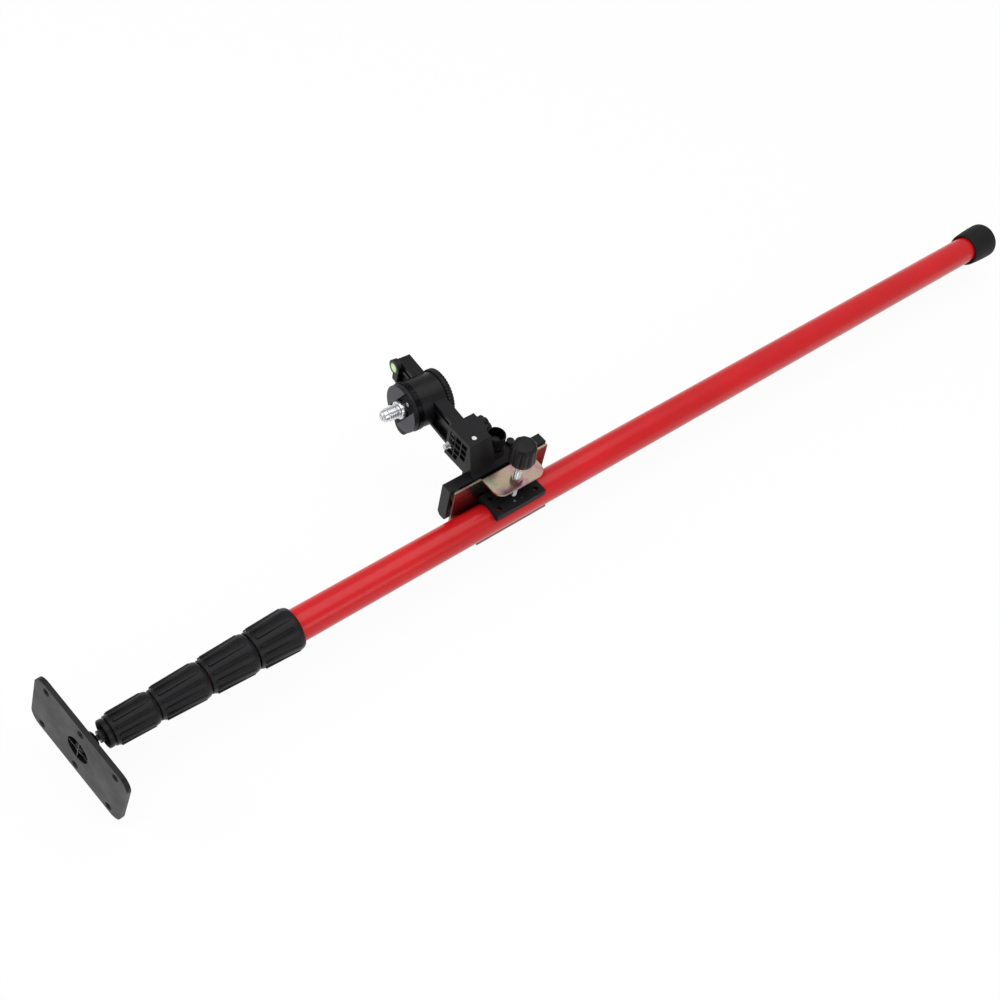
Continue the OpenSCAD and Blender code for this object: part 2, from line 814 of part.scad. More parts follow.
module pressure_pad() {
    color(black) at_clamp() difference() {
        translate([-pad_len / 2, -pad_w / 2, pad_z - pad_t]) cube([pad_len, pad_w, pad_t]);
        along_x(-pad_len) cylinder(h = 2 * pad_len, r = tube_od / 2 + free);
        translate([0, 0, pad_z - tip_sink - snug]) cylinder(h = pad_t, r = screw_r + free);
        for (x = [-pad_hole_x, pad_hole_x], y = [-pad_hole_y, pad_hole_y])
            translate([x, y, 0]) cylinder(h = 2 * pad_z, r = pad_hole_r);
        pin_places() cylinder(h = pad_t, r = pin_r + snug);
        translate([-2.4 * pin_gap, -pad_w / 2 - over, pad_z - free])
            cube([4.8 * pin_gap, pad_w / 2 + over, pad_t]);
    }
}
module pin_places() {
    for (x = [-pin_gap, pin_gap]) translate([x, -pin_y, pad_z - pad_t / 4]) children();
}
module pad_pins() {
    color(steel) at_clamp() pin_places() cylinder(h = pad_t / 4, r = pin_r);
}

// The bar that holds the magnets
module magnet_places() {
    end_x = bar_len / 2 - magnet_r - bar_cut;
    mid_z = bar_top - bar_h / 2;
    for (x = [-1, 1], z = [-1, 1])
        translate([x * end_x - bar_shift, bar_y, mid_z + z * (magnet_r + bar_cut / 2)])
            rotate([-90, 0, 0]) children();
}
module bar_screw_places() {
    for (x = [block_left + bar_screw_in, block_right + bar_screw_out])
        for (share = bar_screw_shares)
            translate([x, bar_y, bar_top - bar_h * share]) rotate([-90, 0, 0]) children();
}
module magnet_bar() {
    low = bar_top - bar_h;
    color(black) at_clamp() difference() {
        translate([-bar_len / 2 - bar_shift, 0, 0]) rotate([90, 0, 90]) linear_extrude(bar_len) polygon([
            [bar_y, low + bar_cut / 2], [bar_y + bar_cut / 2, low], [bar_y + bar_t - bar_cut, low],
            [bar_y + bar_t, low + bar_cut], [bar_y + bar_t, bar_top], [bar_y, bar_top]
        ]);
        magnet_places() translate([0, 0, -over])
            cylinder(h = magnet_t - magnet_out + over, r = magnet_r + snug);
        bar_screw_places() translate([0, 0, -over]) cylinder(h = bar_t + 2 * over, r = bar_screw_r + free);
        bar_screw_places() translate([0, 0, -over]) cylinder(h = bar_sink + over, r = bar_head_r + free);
    }
}
module magnets() {
    color(steel) at_clamp() magnet_places()
        translate([0, 0, -magnet_out]) cylinder(h = magnet_t, r = magnet_r);
}
module bar_screws() {
    color(steel) at_clamp() bar_screw_places() translate([0, 0, bar_sink - bar_head_t]) {
        cylinder(h = bar_head_t, r = bar_head_r);
        cylinder(h = bar_t + bar_grip, r = bar_screw_r);
    }
}

// Windows of the lattice in the block's thin wall
module lattice_windows() {
    columns = 3;
    rows = 4;
    w = (block_len - 2 * lattice_edge + lattice_rib) / columns;
    h = (rail_h - lattice_edge + lattice_rib) / rows;
    for (i = [0:columns - 1], j = [0:rows - 1])
        translate([block_left - over, block_y + lattice_edge + i * w, rail_low + lattice_edge / 2 + j * h])
            cube([pivot_shift / 6 + over, w - lattice_rib, h - lattice_rib]);
}
// The block that holds the rail's near end
module arm_block() {
    inner = tan(tilt_limit);
    y0 = pivot_y - rail_tail - 2 * free;
    y1 = block_y + block_len;
    h0 = half_w + rail_tail * inner + free;
    shelf_z = boss_z - shelf_drop;
    color(black) at_clamp() difference() {
        union() {
            difference() {
                translate([block_left, block_y, floor_z]) cube([block_w, block_len, roof_z - floor_z]);
                lattice_windows();
            }
            translate([block_left, pivot_y + fine_arm, fine_z]) rotate([0, 90, 0])
                cylinder(h = block_wall, r = fine_r + fine_boss);
            translate([block_left, bar_y + bar_t, bar_top - bar_h * 0.85])
                cube([block_w + foot_out, bar_grip, bar_h * 0.85 + over]);
            translate([block_left, 0, 0]) rotate([90, 0, 90]) linear_extrude(block_w + foot_out) polygon([
                [bar_y, bar_top], [block_y + shelf_in, shelf_z], [block_y + shelf_out, shelf_z],
                [block_y + shelf_out, floor_z], [block_y, floor_z], [block_y, bar_top]
            ]);
            translate([block_left, 0, 0]) rotate([90, 0, 90]) linear_extrude(block_w) polygon([
                [bar_y + bar_t / 3, bar_top], [block_y, roof_z - end_round],
                [block_y + shelf_in, roof_z - end_round], [block_y + shelf_in, bar_top]
            ]);
            translate([cup_x, cup_y, bar_top]) cylinder(h = boss_z - bar_top, r = cup_boss_r);
            translate([lug_x, cup_y - shelf_drop, bar_top])
                cylinder(h = boss_z - bar_top - shelf_in / 2, r = lug_r);
        }
        // Channel for the rail
        translate([-pivot_shift, 0, rail_low - free]) linear_extrude(rail_h + 2 * free) polygon([
            [-h0, y0], [h0, y0], [h0, pivot_y], [channel_end, y1], [channel_end, y1 + over],
            [-channel_end, y1 + over], [-channel_end, y1], [-h0, pivot_y]
        ]);
        // Pivot, fine screw and locking screw
        translate([-pivot_shift, pivot_y, floor_z - over]) cylinder(h = roof_z, r = pivot_r + run);
        translate([-pivot_shift, pivot_y, roof_z - pivot_head_t - free])
            cylinder(h = roof_z, r = pivot_head_r + run);
        translate([block_left - over, pivot_y + fine_arm, fine_z]) rotate([0, 90, 0])
            cylinder(h = 2 * block_w, r = fine_r + run);
        translate([cup_x, cup_y, floor_z - over]) cylinder(h = bar_h, r = fine_r + run);
        translate([cup_x, cup_y, floor_z - over])
            cylinder(h = bar_top - floor_z + lock_nut_t + 2 * free + over, r = lock_nut_r + run, $fn = 6);
        translate([cup_x, cup_y, boss_z]) cylinder(h = roof_z, r = cup_r + cup_room);
        // Slit that the locking screw closes
        translate([-pivot_shift + half_w, block_y - over, bar_top + slit_up])
            cube([block_w + foot_out, slit_in, slit_t]);
        bar_screw_places() cylinder(h = bar_t + bar_grip, r = bar_screw_r + snug);
    }
}
module pivot_screw() {
    color(steel) at_clamp() translate([-pivot_shift, pivot_y, 0]) {
        translate([0, 0, floor_z + pivot_short])
            cylinder(h = roof_z - floor_z - 2 * pivot_short, r = pivot_r);
        translate([0, 0, roof_z - pivot_head_t - free / 2]) cylinder(h = pivot_head_t, r = pivot_head_r);
    }
}
module fine_screw() {
    color(steel) at_clamp() translate([block_left - fine_out, pivot_y + fine_arm, fine_z]) rotate([0, 90, 0])
        cylinder(h = block_w + fine_out + fine_knob_w / 2 + fine_collar, r = fine_r);
}
module fine_clip() {
    color(steel) at_clamp() translate([block_left - clip_t - clip_play, pivot_y + fine_arm, fine_z])
        rotate([0, 90, 0]) difference() {
            cylinder(h = clip_t, r = fine_r + clip_rim);
            translate([0, 0, -over]) cylinder(h = clip_t + 2 * over, r = fine_r + snug);
        }
}
module scalloped(r, h, lobes) {
    cylinder(h = h, r = r * 0.9);
    for (i = [0:lobes - 1]) rotate([0, 0, i * 360 / lobes])
        translate([r * 0.78, 0, 0]) cylinder(h = h, r = r * 0.22);
}
module fine_knob() {
    color(black) at_clamp() translate([block_right + free, pivot_y + fine_arm, fine_z]) rotate([0, 90, 0])
        difference() {
            union() {
                cylinder(h = fine_collar, r = fine_knob_r * 0.55);
                translate([0, 0, fine_collar]) scalloped(fine_knob_r, fine_knob_w - fine_collar, 8);
            }
            translate([0, 0, -over])
                cylinder(h = fine_knob_w / 2 + fine_collar - free + over, r = fine_r + snug);
        }
}
// A nut held in the rail, with room for the screw to lean
module fine_nut() {
    color(brass) at_arm() translate([-fine_nut_in + snug, fine_arm, fine_z]) rotate([0, 90, 0]) difference() {
        cylinder(h = fine_nut_t, r = fine_nut_r);
        translate([0, 0, -over]) cylinder(h = fine_nut_t + 2 * over, r = fine_r + fine_room / 2);
    }
}
module lock_knob() {
    flutes = 16;
    color(black) at_clamp() translate([cup_x, cup_y, boss_z + free]) difference() {
        union() {
            cylinder(h = cup_h, r = cup_r - flute_h);
            for (i = [0:flutes - 1]) rotate([0, 0, i * 360 / flutes])
                translate([cup_r - flute_h, 0, flute_h]) cylinder(h = cup_h - 2 * flute_h, r = flute_h);
        }
        translate([0, 0, cup_h / 3]) cylinder(h = cup_h, r = cup_r - cup_wall);
        translate([0, 0, -over]) cylinder(h = cup_h, r = fine_r + snug);
    }
}
module lock_screw() {
    seat = boss_z + free + cup_h / 3;
    color(steel) at_clamp() translate([cup_x, cup_y, 0]) {
        translate([0, 0, floor_z + free]) cylinder(h = seat - floor_z, r = fine_r);
        translate([0, 0, seat]) cylinder(h = lock_head_t, r = lock_head_r);
    }
}
module lock_nut() {
    color(steel) at_clamp() translate([cup_x, cup_y, bar_top + free]) difference() {
        cylinder(h = lock_nut_t, r = lock_nut_r, $fn = 6);
        translate([0, 0, -over]) cylinder(h = lock_nut_t + 2 * over, r = fine_r + run);
    }
}

// The toothed rail
module arm_rail() {
    recess_top = axis_z + pinion_r + 2.2 * gear_m;
    teeth = floor((rail_len - rack_from - 4 * rack_pitch) / rack_pitch);
    first = drum_at - floor((drum_at - rack_from - rack_pitch) / rack_pitch) * rack_pitch;
    cut_len = rail_len - rack_from - rack_end;
    color(black) at_arm() difference() {
        union() {
            difference() {
                translate([-half_w, -rail_tail, rail_low]) cube([rail_w, rail_len + rail_tail, rail_h]);
                // Rack recess on the far side
                translate([half_w - rack_w, rack_from, rack_root])
                    cube([rack_w + over, cut_len, recess_top - rack_root]);
                // Grooves on the near side
                translate([-half_w - over, rack_from, rail_low + groove_up])
                    cube([groove_in + over, cut_len, groove_h]);
                translate([-half_w - over, rack_from, rail_top - slot_down])
                    cube([groove_in + over, cut_len, slot_h]);
                // Faint lines along the top
                for (x = [-1, 0, 1])
                    translate([x * rail_w / 4 - line_w / 2, rack_from, rail_top - line_w / 2])
                        cube([line_w, rail_len, line_w + over]);
            }
            for (i = [0:teeth]) rack_tooth(first + i * rack_pitch);
        }
        translate([0, 0, rail_low - over]) cylinder(h = rail_h + 2 * over, r = pivot_r + run);
        translate([-rail_w, fine_arm, fine_z]) rotate([0, 90, 0])
            cylinder(h = 2 * rail_w, r = fine_r + fine_room);
        translate([-fine_nut_in, fine_arm, fine_z]) rotate([0, 90, 0])
            cylinder(h = rail_w, r = fine_nut_r + snug);
    }
}
// One trapezoid tooth that points up from the recess floor at y
module rack_tooth(y) {
    foot = 1.05 * gear_m;
    tip = 0.35 * gear_m;
    top = rack_root + 2.1 * gear_m;
    translate([half_w - rack_w - snug, 0, 0]) rotate([90, 0, 90]) linear_extrude(rack_w + snug) polygon([
        [y - foot, rack_root - over / 2], [y - foot, rack_root], [y - tip, top],
        [y + tip, top], [y + foot, rack_root], [y + foot, rack_root - over / 2]
    ]);
}
module level_holder() {
    color(black) at_arm() difference() {
        union() {
            translate([-half_w - level_t, level_at, level_z]) rotate([0, 90, 0])
                cylinder(h = level_t, r = level_r);
            translate([-half_w - level_t / 2, level_at - level_foot_w / 2, rail_low + level_foot])
                cube([level_t / 2, level_foot_w, level_up - level_foot]);
        }
        translate([-half_w - level_t - over, level_at, level_z]) rotate([0, 90, 0])
            cylinder(h = level_t / 2 + over, r = vial_r + snug);
    }
}
module level_vial() {
    color(green) at_arm() translate([-half_w - level_t - vial_out, level_at, level_z]) rotate([0, 90, 0])
        cylinder(h = level_t / 2 + vial_out, r = vial_r);
}

// The carriage that slides on the rail
module rail_slot() {
    translate([-half_w - free, -2 * drum_r, -rail_h / 2 - free])
        cube([4 * half_w, 4 * drum_r, rail_h + 2 * free]);
}
module carriage() {
    front = -half_w - free - drum_front;
    color(black) at_drum() difference() {
        union() {
            along_x(front) cylinder(h = drum_back - front, r = drum_r);
            for (turn = pair_turns) drum_strip(turn, 1);
            drum_strip(short_rib_turn, short_rib_share);
        }
        rail_slot();
        along_x(front - over) cylinder(h = drum_front + 2 * over, r = table_hub_r + run);
        cover_screw_places() along_x(drum_back - cover_screw_len - over)
            cylinder(h = cover_screw_len + 2 * over, r = cover_screw_r);
    }
}
// A rib along the carriage's side, over a share of its length from the front
module drum_strip(turn, share) {
    front = -half_w - free - drum_front;
    rotate([turn, 0, 0]) translate([front + drum_end, drum_r - drum_rib_in, -drum_rib_w / 2])
        cube([(drum_back - front - 2 * drum_end) * share, drum_rib_h + drum_rib_in, drum_rib_w]);
}
module cover_screw_places() {
    for (turn = [60, 120, 240, 300]) rotate([turn, 0, 0])
        translate([0, drum_r - cover_screw_in, 0]) children();
}
module carriage_cover() {
    color(black) at_drum() difference() {
        along_x(drum_back) cylinder(h = cover_t, r = drum_r);
        along_x(0) cylinder(h = 2 * drum_back, r = shaft_r + run);
        cover_screw_places() along_x(0) cylinder(h = 2 * drum_back, r = cover_screw_r);
    }
}
module cover_screws() {
    color(steel) at_drum() cover_screw_places() along_x(drum_back - cover_screw_len)
        cylinder(h = cover_screw_len + cover_t - snug, r = cover_screw_r - snug);
}
module dial_ring() {
    front = -half_w - free - drum_front - dial_t;
    notches = 36;
    color(dark) at_drum() rotate([ear_turn, 0, 0]) difference() {
        union() {
            difference() {
                along_x(front) cylinder(h = dial_t, r = dial_r);
                for (i = [0:notches - 1]) rotate([(i + 0.5) * 360 / notches, 0, 0])
                    translate([front + notch_end, dial_r - notch_depth, -notch_w / 2])
                        cube([dial_t - 2 * notch_end, notch_depth + over, notch_w]);
            }
            translate([0, ear_at, 0]) along_x(front) cylinder(h = ear_t, r = ear_r);
        }
        along_x(front - over) cylinder(h = dial_t + 2 * over, r = table_hub_r + run);
    }
}
module pinion_knob() {
    base = drum_back + cover_t + free;
    teeth = 48;
    color(black) at_drum() difference() {
        along_x(base) cylinder(h = wheel_t, r = wheel_r);
        for (i = [0:teeth - 1]) rotate([i * 360 / teeth, 0, 0])
            translate([base - over, wheel_r - wheel_notch_depth, -wheel_notch_w / 2])
                cube([wheel_t + 2 * over, wheel_notch_depth + over, wheel_notch_w]);
        along_x(base - over) cylinder(h = wheel_t, r = shaft_r + snug);
    }
}
// Corners of one pinion tooth as radius and half width, from root to tip and back
tooth_share = [[-1.25, 0.9], [-0.4, 0.75], [0.9, 0.3]];
module pinion() {
    face = half_w - gear_w - gear_side;
    shaft_end = drum_back + cover_t + free + wheel_t - shaft_short;
    step = 360 / pinion_teeth;
    color(steel) at_drum() {
        along_x(face) linear_extrude(gear_w) polygon([
            for (i = [0:pinion_teeth - 1], p = [0:5]) let (
                t = p < 3 ? tooth_share[p] : tooth_share[5 - p],
                r = pinion_r + t[0] * gear_m, w = (p < 3 ? -1 : 1) * t[1] * gear_m, a = (i + 0.5) * step
            ) [r * cos(a) - w * sin(a), r * sin(a) + w * cos(a)]
        ]);
        along_x(face + gear_w - over) cylinder(h = shaft_end - face - gear_w + over, r = shaft_r);
    }
}
module turntable() {
    color(dark) at_drum() difference() {
        union() {
            along_x(table_front) cylinder(h = table_t, r = drum_r);
            along_x(table_back - over) cylinder(h = -half_w - 2 * free - table_back + over, r = table_hub_r);
        }
        rotate([band_angle, 0, 0]) translate([table_front - over, -2 * drum_r, -band_w / 2])
            cube([band_t + over, 4 * drum_r, band_w]);
        along_x(table_front - over) cylinder(h = band_t + neck_t + 2 * over, r = neck_r + snug);
        along_x(table_front) cylinder(h = 4 * drum_r, r = centre_r);
        band_screw_places() along_x(table_front) cylinder(h = table_t - band_head_t, r = band_screw_r + snug);
    }
}
module band_screw_places() {
    for (side = [-1, 1]) rotate([band_angle, 0, 0]) translate([0, side * band_screw_at, 0]) children();
}
module band_screws() {
    base = table_front + band_t;
    color(steel) at_drum() band_screw_places() {
        along_x(base - band_head_t) cylinder(h = band_head_t, r = band_head_r);
        along_x(base - band_head_t) cylinder(h = table_t - band_t, r = band_screw_r);
    }
}
// Screw that holds the turntable and the adapter together
module turntable_screw() {
    color(steel) at_drum() along_x(table_front + centre_in)
        cylinder(h = -half_w - 2 * free - table_front - centre_in - over, r = centre_r - snug);
}
module adapter() {
    base = table_front + band_t;
    seat = table_front - collar_h;
    top = seat - thread_len;
    color(steel) at_drum() difference() {
        union() {
            lathe_x([
                [top, 0], [top, thread_r - thread_end], [top + thread_end, thread_r], [seat, thread_r],
                [seat, collar_r - collar_round], [seat + collar_round, collar_r], [base, collar_r], [base, 0]
            ]);
            along_x(base - over) cylinder(h = neck_t + over, r = neck_r);
        }
        for (i = [1:5]) lathe_ring(top + thread_end + i * thread_pitch, thread_r, thread_depth);
        along_x(top - over) cylinder(h = socket_depth + over, r = socket_r);
        along_x(table_front - over) cylinder(h = socket_depth, r = centre_r);
    }
}
// A shallow groove round x at one place
module lathe_ring(x, r, depth) {
    lathe_x([[x - depth, r + over], [x - depth, r], [x, r - depth], [x + depth, r], [x + depth, r + over]]);
}

outer_tube();
pole_tube(2);  // tube_2
pole_tube(3);  // tube_3
pole_tube(4);  // tube_4
foot_cap();
guide_bush(2);  // guide_bush_2
guide_bush(3);  // guide_bush_3
guide_bush(4);  // guide_bush_4
lock_base(1);  // lock_base_1
lock_base(2);  // lock_base_2
lock_base(3);  // lock_base_3
lock_collet(1);  // lock_collet_1
lock_collet(2);  // lock_collet_2
lock_collet(3);  // lock_collet_3
lock_grip(1);  // lock_grip_1
lock_grip(2);  // lock_grip_2
lock_grip(3);  // lock_grip_3
jack_base();
jack_clip();
jack_grip();
jack_nut();
jack_cap();
jack_screw();
ball_stud();
ball_liner();
ball_socket();
head_plate();
clamp_frame();
clamp_nut();
clamp_screw();
clamp_knob();
pressure_pad();
pad_pins();
magnet_bar();
magnets();
bar_screws();
arm_block();
pivot_screw();
fine_screw();
fine_clip();
fine_knob();
fine_nut();
lock_knob();
lock_screw();
lock_nut();
arm_rail();
level_holder();
level_vial();
carriage();
carriage_cover();
cover_screws();
dial_ring();
pinion_knob();
pinion();
turntable();
turntable_screw();
band_screws();
adapter();
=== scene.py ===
import bpy
import json
import math
from mathutils import Matrix, Vector


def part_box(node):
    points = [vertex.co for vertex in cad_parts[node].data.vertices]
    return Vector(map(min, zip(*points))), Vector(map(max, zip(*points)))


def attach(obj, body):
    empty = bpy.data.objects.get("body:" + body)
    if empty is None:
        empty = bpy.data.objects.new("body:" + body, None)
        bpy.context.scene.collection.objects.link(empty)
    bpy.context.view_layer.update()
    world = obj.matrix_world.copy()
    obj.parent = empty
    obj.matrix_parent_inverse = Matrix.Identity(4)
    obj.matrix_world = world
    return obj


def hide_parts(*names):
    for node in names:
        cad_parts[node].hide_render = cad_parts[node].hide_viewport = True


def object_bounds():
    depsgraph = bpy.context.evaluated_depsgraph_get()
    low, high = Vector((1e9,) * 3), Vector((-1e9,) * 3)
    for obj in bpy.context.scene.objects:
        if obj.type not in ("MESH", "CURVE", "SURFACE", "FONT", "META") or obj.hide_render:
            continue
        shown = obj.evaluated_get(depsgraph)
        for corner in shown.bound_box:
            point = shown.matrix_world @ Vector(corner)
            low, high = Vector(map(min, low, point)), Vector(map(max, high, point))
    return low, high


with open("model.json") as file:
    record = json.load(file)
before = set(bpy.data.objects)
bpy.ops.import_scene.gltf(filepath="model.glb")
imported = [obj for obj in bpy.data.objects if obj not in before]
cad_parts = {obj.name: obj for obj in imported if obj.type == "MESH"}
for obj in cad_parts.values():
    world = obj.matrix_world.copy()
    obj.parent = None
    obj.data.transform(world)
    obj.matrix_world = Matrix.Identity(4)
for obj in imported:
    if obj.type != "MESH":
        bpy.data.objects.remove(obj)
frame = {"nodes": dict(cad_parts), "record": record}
cad_box = [list(corner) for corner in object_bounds()]
nodes = frame["nodes"]
MM = 0.001


# Sizes of the real thing in mm and degrees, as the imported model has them
ball_x = 1389.0
clamp_x = 877.0
pivot_x, pivot_y = -29.0, 46.0
arm_lean = 4.0
drum_y, drum_z = 85.5, 65.5
level_x, level_y, level_z, vial_r = -14.2, 133.5, 75.5, 6.2
cup_x, cup_y = -0.33, 41.7
fine_y, fine_z, fine_knob_x = 68.0, 62.0, -7.03
tubes = {"outer_tube": 18.0, "tube_2": 16.0, "tube_3": 14.0, "tube_4": 12.0}
tube_wall, tube_edge = 1.2, 0.3


# Places of the sub-assemblies
def turn(angle, axis):
    """A turn in degrees."""
    return Matrix.Rotation(math.radians(angle), 4, axis)


def shift(x, y, z):
    """A move in mm."""
    return Matrix.Translation((x * MM, y * MM, z * MM))


along_x = turn(90, "Y")
head_place = shift(ball_x, 0, 0) @ turn(180, "Z")
clamp_place = shift(clamp_x, 0, 0) @ turn(180, "Z")
arm_place = clamp_place @ shift(pivot_x, pivot_y, 0) @ turn(-arm_lean, "Z")
drum_place = arm_place @ shift(0, drum_y, drum_z)
level_centre = arm_place @ Vector((level_x * MM, level_y * MM, level_z * MM))
body_of = {node: body for body, names in frame["record"]["behaviour"]["bodies"].items() for node in names}
slot_of = {part["node"]: part["material_slot"] for part in frame["record"]["subparts"]}


# Camera and light
def build_camera():
    """The photograph's camera: a 50 mm lens on a 36 mm sensor; right, down and ahead are its unit axes."""
    right = Vector((-0.7619, 0.6293, 0.1529))
    down = Vector((0.4251, 0.6641, -0.6151))
    ahead = Vector((-0.4886, -0.4036, -0.7735))
    place = Vector((1.6293, 0.6061, 1.1847))
    data = bpy.data.cameras.new("photo_camera")
    data.sensor_width = 36.0
    data.lens = 50.0
    camera = bpy.data.objects.new("photo_camera", data)
    facing = Matrix((right, -down, -ahead)).transposed().to_4x4()
    camera.matrix_world = Matrix.Translation(place) @ facing
    bpy.context.scene.collection.objects.link(camera)
    bpy.context.scene.camera = camera


def area_lamp(name, place, target, size, power):
    """A soft rectangular studio lamp, in metres and watts."""
    data = bpy.data.lights.new(name, "AREA")
    data.shape = "RECTANGLE"
    data.size, data.size_y = size
    data.energy = power
    lamp = bpy.data.objects.new(name, data)
    lamp.location = place
    aim = Vector(target) - Vector(place)
    lamp.rotation_euler = aim.to_track_quat("-Z", "Y").to_euler()
    bpy.context.scene.collection.objects.link(lamp)


build_camera()
area_lamp("overhead_lamp", (0.7, -0.2, 1.9), (0.7, -0.05, 0.0), (2.6, 1.8), 22.0)
area_lamp("left_lamp", (2.6, -1.2, 1.1), (1.0, -0.1, 0.0), (1.4, 1.0), 14.0)
area_lamp("near_lamp", (0.9, 1.9, 0.9), (0.8, 0.0, 0.0), (1.8, 0.8), 9.0)
view = bpy.context.scene.view_settings
view.view_transform = "Standard"


# Materials
def linear(code):
    """An sRGB hex colour as the linear values that the shader takes."""
    parts = [int(code[i:i + 2], 16) / 255 for i in (1, 3, 5)]
    return tuple(c / 12.92 if c <= 0.04045 else ((c + 0.055) / 1.055) ** 2.4 for c in parts) + (1.0,)


def add(tree, kind, settings=None, links=None):
    """One shader node with its settings; links maps an input to (node, output)."""
    node = tree.nodes.new(kind)
    for name, value in (settings or {}).items():
        if name.startswith("."):
            setattr(node, name[1:], value)
        else:
            node.inputs[int(name) if name.isdigit() else name].default_value = value
    for name, (source, out) in (links or {}).items():
        tree.links.new(source.outputs[out], node.inputs[int(name) if name.isdigit() else name])
    return node


def empty(name):
    """A new material without any shader nodes."""
    material = bpy.data.materials.new(name)
    material.use_nodes = True
    material.node_tree.nodes.clear()
    return material, material.node_tree


def start(name, settings):
    """A new material with its shader and Object coordinates."""
    material, tree = empty(name)
    shader = add(tree, "ShaderNodeBsdfPrincipled", settings)
    add(tree, "ShaderNodeOutputMaterial", links={"Surface": (shader, "BSDF")})
    place = add(tree, "ShaderNodeTexCoord")
    return material, tree, shader, (place, "Object")


def noise(tree, place, size_mm, detail, roughness=0.5, distortion=0.0):
    """Noise with features about size_mm wide, over coordinates in metres."""
    return add(tree, "ShaderNodeTexNoise", {"Scale": 1000.0 / size_mm, "Detail": detail,
                                            "Roughness": roughness, "Distortion": distortion},
               {"Vector": place})


def colour_by(tree, shader, value, stops):
    """Lets the base colour follow a value (node, output), by stops of place and hex colour."""
    node = add(tree, "ShaderNodeValToRGB", links={"Fac": value})
    while len(node.color_ramp.elements) < len(stops):
        node.color_ramp.elements.new(0.5)
    for element, (where, code) in zip(node.color_ramp.elements, stops):
        element.position = where
        element.color = linear(code)
    tree.links.new(node.outputs["Color"], shader.inputs["Base Color"])


def gloss_by(tree, shader, source, low, high, smooth, rough):
    """Lets the roughness go from smooth to rough as a noise goes from low to high."""
    node = add(tree, "ShaderNodeMapRange", {"From Min": low, "From Max": high, "To Min": smooth,
                                            "To Max": rough}, {"Value": (source, "Fac")})
    tree.links.new(node.outputs["Result"], shader.inputs["Roughness"])


def relief_by(tree, shader, source, strength, depth_mm):
    """Lets a noise raise the surface by up to depth_mm."""
    node = add(tree, "ShaderNodeBump", {"Strength": strength, "Distance": depth_mm * MM},
               {"Height": (source, "Fac")})
    tree.links.new(node.outputs["Normal"], shader.inputs["Normal"])


def moulded_plastic(name, colour, worn, rough, grain_mm, depth_mm, shine=0.2):
    """Moulded plastic or rubber, or blackened steel: fine grain, cloudy gloss and lighter, rubbed spots."""
    material, tree, shader, place = start(name, {"Roughness": rough, "IOR": 1.5,
                                                 "Specular IOR Level": shine})
    grain = noise(tree, place, grain_mm, 3.0, 0.6)
    rubbed = noise(tree, place, 35.0, 5.0, 0.62)
    colour_by(tree, shader, (rubbed, "Fac"), [(0.42, colour), (0.72, worn)])
    gloss_by(tree, shader, rubbed, 0.3, 0.75, rough - 0.07, rough + 0.12)
    relief_by(tree, shader, grain, 0.55, depth_mm)
    return material


def enamel(name, colour, deep):
    """Gloss enamel baked on aluminium: deep even colour under a clear shine, with a faint orange peel."""
    material, tree, shader, place = start(name, {"Roughness": 0.3, "IOR": 1.5, "Specular IOR Level": 0.3,
                                                 "Coat Weight": 0.1, "Coat Roughness": 0.12})
    cloud = noise(tree, place, 90.0, 3.0)
    colour_by(tree, shader, (cloud, "Fac"), [(0.3, deep), (0.7, colour)])
    stretch = add(tree, "ShaderNodeMapping", {"Scale": (0.12, 1.0, 1.0)}, {"Vector": place})
    scuff = noise(tree, (stretch, "Vector"), 2.2, 4.0, 0.7)
    gloss_by(tree, shader, scuff, 0.35, 0.8, 0.27, 0.34)
    peel = noise(tree, place, 1.6, 1.0)
    relief_by(tree, shader, peel, 0.12, 0.03)
    return material


def drawn_metal(name, colour, shade, rough, line_mm, along):
    """Turned or drawn metal: fine tool lines that stretch the highlight, slightly dulled by handling."""
    material, tree, shader, place = start(name, {"Roughness": rough, "Metallic": 1.0})
    stretch = add(tree, "ShaderNodeMapping", {"Scale": along}, {"Vector": place})
    lines = noise(tree, (stretch, "Vector"), line_mm, 4.0, 0.65)
    colour_by(tree, shader, (lines, "Fac"), [(0.3, shade), (0.65, colour)])
    gloss_by(tree, shader, lines, 0.3, 0.7, rough * 0.7, rough * 1.35)
    relief_by(tree, shader, lines, 0.25, 0.02)
    return material


def yellow_zinc(name):
    """Zinc plate with a yellow chromate film: pale gold, drifting to pink and green where it is thicker."""
    material, tree, shader, place = start(name, {"Roughness": 0.3, "Metallic": 1.0})
    film = noise(tree, place, 26.0, 4.0, 0.5, distortion=0.6)
    colour_by(tree, shader, (film, "Fac"), [(0.30, "#7d8672"), (0.42, "#968d75"), (0.50, "#a08a7d"),
                                            (0.58, "#98727a"), (0.70, "#8c8b6c")])
    grain = noise(tree, place, 0.9, 5.0, 0.7)
    gloss_by(tree, shader, grain, 0.3, 0.75, 0.2, 0.42)
    relief_by(tree, shader, grain, 0.2, 0.03)
    return material


def level_liquid(name, centre, radius_mm):
    """Acrylic level vial: a pale bubble in the middle, bright green liquid round it and a deeper edge."""
    material, tree, shader, place = start(name, {"Roughness": 0.1, "IOR": 1.49, "Coat Weight": 0.5})
    away = add(tree, "ShaderNodeVectorMath", {".operation": "DISTANCE", "1": centre}, {"0": place})
    share = add(tree, "ShaderNodeMath", {".operation": "DIVIDE", "1": radius_mm * MM},
                {"0": (away, "Value")})
    colour_by(tree, shader, (share, "Value"), [
        (0.28, "#dff2c4"), (0.36, "#a8dc6c"), (0.40, "#d3efb0"), (0.72, "#bfe593"), (0.80, "#5d9f35"),
        (0.98, "#2f6a22")])
    return material


